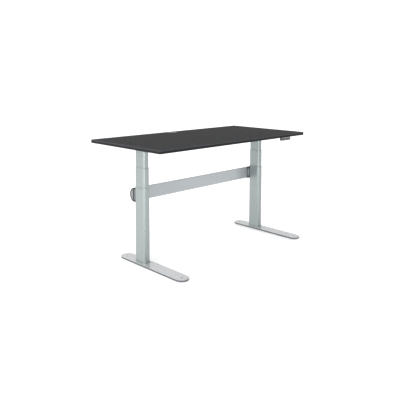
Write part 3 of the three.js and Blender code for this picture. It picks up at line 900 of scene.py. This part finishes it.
# %% Handset panel and body
UPRIGHT = Matrix.Rotation(math.radians(90), 4, "X")
PANEL = 2 * MM
low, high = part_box("handset_housing")
face_y = low.y
panel_middle = Vector(((low.x + high.x) / 2, 0, (low.z + high.z) / 2))
BUTTONS = ("up", "down", "memory_1", "memory_2", "memory_3")
button_places = [around(f"{name}_button")[0] for name in BUTTONS]
display_middle, display_size = around("handset_display")
holes = [(place.x - panel_middle.x, 0, 11.6 * MM, 9.6 * MM, 1.6 * MM, 4) for place in button_places]
WINDOW_PLAY = 0.6 * MM
window_x = display_middle.x - panel_middle.x
holes.append((window_x, 0, display_size.x + WINDOW_PLAY, display_size.z + WINDOW_PLAY, 0, 0))
front = plate((0, 0, high.x - low.x, high.z - low.z, 3 * MM, 5), holes, 0, PANEL)
on_front_rim = lambda e: all(abs(v.co.x) > 0.058 or abs(v.co.y) > 0.0115 for v in e.verts)
soften(front, 0.7 * MM, 3, 50, on_front_rim)
LIP_START = Vector((0, 6.6 * MM, 0))
everything = front.verts[:] + front.edges[:] + front.faces[:]
bmesh.ops.bisect_plane(front, geom=everything, plane_co=LIP_START, plane_no=(0, 1, 0))
for face in front.faces:
    face.material_index = 1 if face.calc_center_median().y > LIP_START.y else 0
front_at = Matrix.Translation((panel_middle.x, face_y + PANEL, panel_middle.z)) @ UPRIGHT
turn_to(front, front_at)
BODY_DEPTH = 20 * MM
body = round_box(
    (-(high.x - low.x) / 2, -(high.z - low.z) / 2, -(BODY_DEPTH - PANEL)),
    ((high.x - low.x) / 2, (high.z - low.z) / 2, 0),
    3 * MM,
    5,
)
soften(body, 1.2 * MM, 3, 50, lambda e: all(v.co.z < -0.005 for v in e.verts))
open_face = max(facing(body, 2, 1), key=lambda f: f.calc_area())
recess(body, open_face, PANEL, BODY_DEPTH - 2 * PANEL)
turn_to(body, front_at)
tab_low = Vector((panel_middle.x - 45 * MM, face_y + BODY_DEPTH - 0.5 * MM, high.z - 3 * MM))
tab = soften(round_box(tab_low, Vector((panel_middle.x + 45 * MM, high.y, high.z)), 4 * MM, 5), 0.5 * MM, 2)
settle(front, "handset_panel", "top", [panel_grey, lip_grey], ["handset_housing"])
settle(joined([body, tab]), "handset_body", "top", [black])
spots = [(panel_middle.x + dx, face_y + 37 * MM, high.z - 3 * MM) for dx in (-30 * MM, 30 * MM)]
settle(screws(spots, 3.6 * MM, 2 * MM, (0, 0, -1)), "handset_screws", "top", [zinc])

# %% [markdown]
# The display is a smoked window, dark while the desk rests. Each button is a rounded tile on a thin
# flange, and carries a raised mark: a triangle to go up, one to go down, and one, two or three dots for the
# stored heights. The marks are part of the button, so they travel with it.

# %% Display
glass = soften(round_box(*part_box("handset_display"), 0), 0.4 * MM, 2)
settle(glass, "handset_window", "top", [window], ["handset_display"])

# %% Buttons
PROUD = 0.8 * MM
MARK = 0.15 * MM


def mark(name):
    """The raised sign on a button, flat on the XY plane."""
    bm = bmesh.new()
    if name in ("up", "down"):
        way = 1 if name == "up" else -1
        aim = Matrix.Rotation(0 if way > 0 else math.pi, 4, "Z")
        bmesh.ops.create_circle(bm, cap_ends=True, segments=3, radius=2.4 * MM, matrix=aim)
    else:
        count = int(name[-1])
        for i in range(count):
            spot = Matrix.Translation(((i - (count - 1) / 2) * 2.4 * MM, 0, 0))
            bmesh.ops.create_circle(bm, cap_ends=True, segments=16, radius=0.75 * MM, matrix=spot)
    return drawn_out(bm, (0, 0, MARK))


for name, place in zip(BUTTONS, button_places):
    node = f"{name}_button"
    stem_depth = -3.3 * MM
    tile = round_box((-5.5 * MM, -4.5 * MM, stem_depth), (5.5 * MM, 4.5 * MM, PROUD - MARK), 1.5 * MM, 5)
    soften(tile, 0.5 * MM, 3, 50, lambda e: all(v.co.z > 0 for v in e.verts))
    flange_top = stem_depth + 1 * MM
    flange = round_box((-6.3 * MM, -5.5 * MM, stem_depth), (6.3 * MM, 5.5 * MM, flange_top), 1.5 * MM, 5)
    sign = mark(name)
    bmesh.ops.translate(sign, vec=(0, 0, PROUD - MARK), verts=sign.verts)
    for sign_face in sign.faces:
        sign_face.material_index = 1
    button = joined([tile, flange, sign])
    turn_to(button, Matrix.Translation((place.x, face_y, panel_middle.z)) @ UPRIGHT)
    settle(button, f"{node}_tile", node, [black, legend], [node])

# %% [markdown]
# ## Control box
# The box under the desktop is a moulded tray hung on a steel lid, whose two ears are screwed to the board.
# It is sunk from a solid block, ribbed underneath to shed heat, and has the mains inlet in its rear wall.

# %% Control box
BOX_WALL = 2 * MM
low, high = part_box("control_box_tray")
inlet_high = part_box("mains_inlet")[1]
tray = round_box(low, high, 6 * MM, 6)
soften(tray, 1.2 * MM, 3, 50, lambda e: all(v.co.z < (low.z + high.z) / 2 for v in e.verts))
mouth = max(facing(tray, 2, 1), key=lambda f: f.calc_area())
recess(tray, mouth, BOX_WALL, high.z - low.z - BOX_WALL)
ribs = []
for i in range(9):
    x = low.x + 40 * MM + i * 22.5 * MM
    rib_low = (x, low.y + 14 * MM, low.z - 1.2 * MM)
    rib_high = (x + 4 * MM, high.y - 14 * MM, low.z + 0.5 * MM)
    rib = round_box(rib_low, rib_high, 1.9 * MM, 5)
    ribs.append(soften(rib, 0.6 * MM, 2, 50))
settle(joined([tray, *ribs]), "control_box_shell", "top", [black], ["control_box_tray"])
lid_low, lid_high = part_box("control_box_lid")
lid = soften(round_box(lid_low, lid_high, 8 * MM, 6), 0.5 * MM, 2)
settle(lid, "control_box_cover", "top", [dark_paint], ["control_box_lid"])
ears = [x for x in (lid_low.x + 9 * MM, lid_high.x - 9 * MM)]
spots = [(x, y, lid_low.z) for x in ears for y in (lid_low.y + 14 * MM, lid_high.y - 14 * MM)]
settle(screws(spots, 4.5 * MM, 2.4 * MM, (0, 0, -1)), "control_box_screws", "top", [zinc])

# %% Mains inlet
inlet_middle, inlet_size = around("mains_inlet")
FACE_SKIN = 1.5 * MM
face_plate = plate(
    (0, 0, inlet_size.x, inlet_size.z, 2 * MM, 4), [(0, 0, 22 * MM, 13.4 * MM, 2.5 * MM, 4)], -FACE_SKIN, 0
)
soften(face_plate, 0.3 * MM, 2, 60, lambda e: all(v.co.z > -0.0002 for v in e.verts))
cup = round_box((-11 * MM, -6.7 * MM, -(inlet_size.y - 1 * MM)), (11 * MM, 6.7 * MM, -FACE_SKIN), 2.5 * MM, 4)
cup_mouth = max(facing(cup, 2, 1), key=lambda f: f.calc_area())
recess(cup, cup_mouth, 0.4 * MM, 14 * MM)
inlet_face = Matrix.Translation((inlet_middle.x, inlet_high.y, inlet_middle.z))
BACKWARD = inlet_face @ Matrix.Rotation(math.radians(-90), 4, "X")
inlet = turn_to(joined([face_plate, cup]), BACKWARD)
settle(inlet, "mains_inlet_socket", "top", [black], ["mains_inlet"])
blades = []
for x, y in ((-7 * MM, -1.5 * MM), (0, 1.5 * MM), (7 * MM, -1.5 * MM)):
    blade = round_box((x - 1 * MM, y - 2 * MM, -15.6 * MM), (x + 1 * MM, y + 2 * MM, -3 * MM), 0)
    blades.append(soften(blade, 0.3 * MM, 2))
settle(turn_to(joined(blades), BACKWARD), "mains_blades", "top", [zinc])

# %% [markdown]
# ## Cables
# The motor leads and the handset's lead run under the desktop to the control box. Each packed lead already
# follows its route, so it keeps its shape and takes a rubber finish. Clips hold them up: a clip is half a
# turned ring with two legs, and an ear with a screw. A rubber bush, a turned ring laid on its side, lines
# the hole in each arm where a motor lead passes through.

# %% Cable finish
for lead in ("left_motor_cable", "right_motor_cable", "handset_cable"):
    wire = bpy.data.objects[lead]
    wire.material_slots[0].material = sheath.material

# %% Cable clips
CLIP_AT = [
    ((-0.45, 0.031, 0.859), 0),
    ((-0.35, 0.031, 0.859), 2),
    ((-0.06, 0.050, 0.859), 4),
    ((0.48, 0.038, 0.859), -8),
    ((0.503, -0.162, 0.859), 113),
    ((0.45, -0.022, 0.859), 125),
]
BOARD_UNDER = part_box("desktop")[0].z
clips = []
for place, heading in CLIP_AT:
    rise = BOARD_UNDER - place[2]
    section = [(3.4 * MM, -3 * MM), (4.6 * MM, -3 * MM), (4.6 * MM, 3 * MM), (3.4 * MM, 3 * MM)]
    arch = turned(section + section[:1], (0, 0, 0), 16, math.pi, math.pi)
    turn_to(arch, Matrix.Rotation(math.radians(90), 4, "Z") @ Matrix.Rotation(math.radians(90), 4, "X"))
    legs = [round_box((-3 * MM, y, 0), (3 * MM, y + 1.2 * MM, rise), 0) for y in (-4.6 * MM, 3.4 * MM)]
    ear = round_box((-3 * MM, 4 * MM, rise - 1.5 * MM), (3 * MM, 13 * MM, rise), 2 * MM, 4)
    ear = soften(ear, 0.3 * MM, 2)
    head_at = Matrix.Translation((0, 9 * MM, rise - 1.5 * MM)) @ Matrix.Rotation(math.pi, 4, "X")
    head = turn_to(screw_head(2.4 * MM, 1.5 * MM, 20), head_at)
    clip = joined([arch, *legs, ear, head])
    clips.append(turn_to(clip, Matrix.Translation(place) @ Matrix.Rotation(math.radians(heading), 4, "Z")))
settle(joined(clips), "cable_clips", "top", [black])

# %% Cable bushes
bushes = []
HOLE_HEIGHT = 0.8506
BUSH = [(3.3 * MM, -3 * MM), (7 * MM, -3 * MM), (7.4 * MM, -1.5 * MM), (5.9 * MM, -1.2 * MM)]
BUSH += [(5.9 * MM, 1.2 * MM), (7.4 * MM, 1.5 * MM), (7 * MM, 3 * MM)]
BUSH += [(3.3 * MM, 3 * MM), (3.3 * MM, -3 * MM)]
for side in SIDES:
    arm_low, arm_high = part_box(f"{side}_support_arm")
    web = arm_high.x - SHEET / 2 if side == "left" else arm_low.x + SHEET / 2
    column = around(f"{side}_inner_tube")[0]
    along = Matrix.Translation((web, column.y, HOLE_HEIGHT)) @ Matrix.Rotation(math.radians(90), 4, "Y")
    bushes.append(turn_to(turned(BUSH, (0, 0, 0), 24), along))
settle(joined(bushes), "cable_bushes", "top", [black])
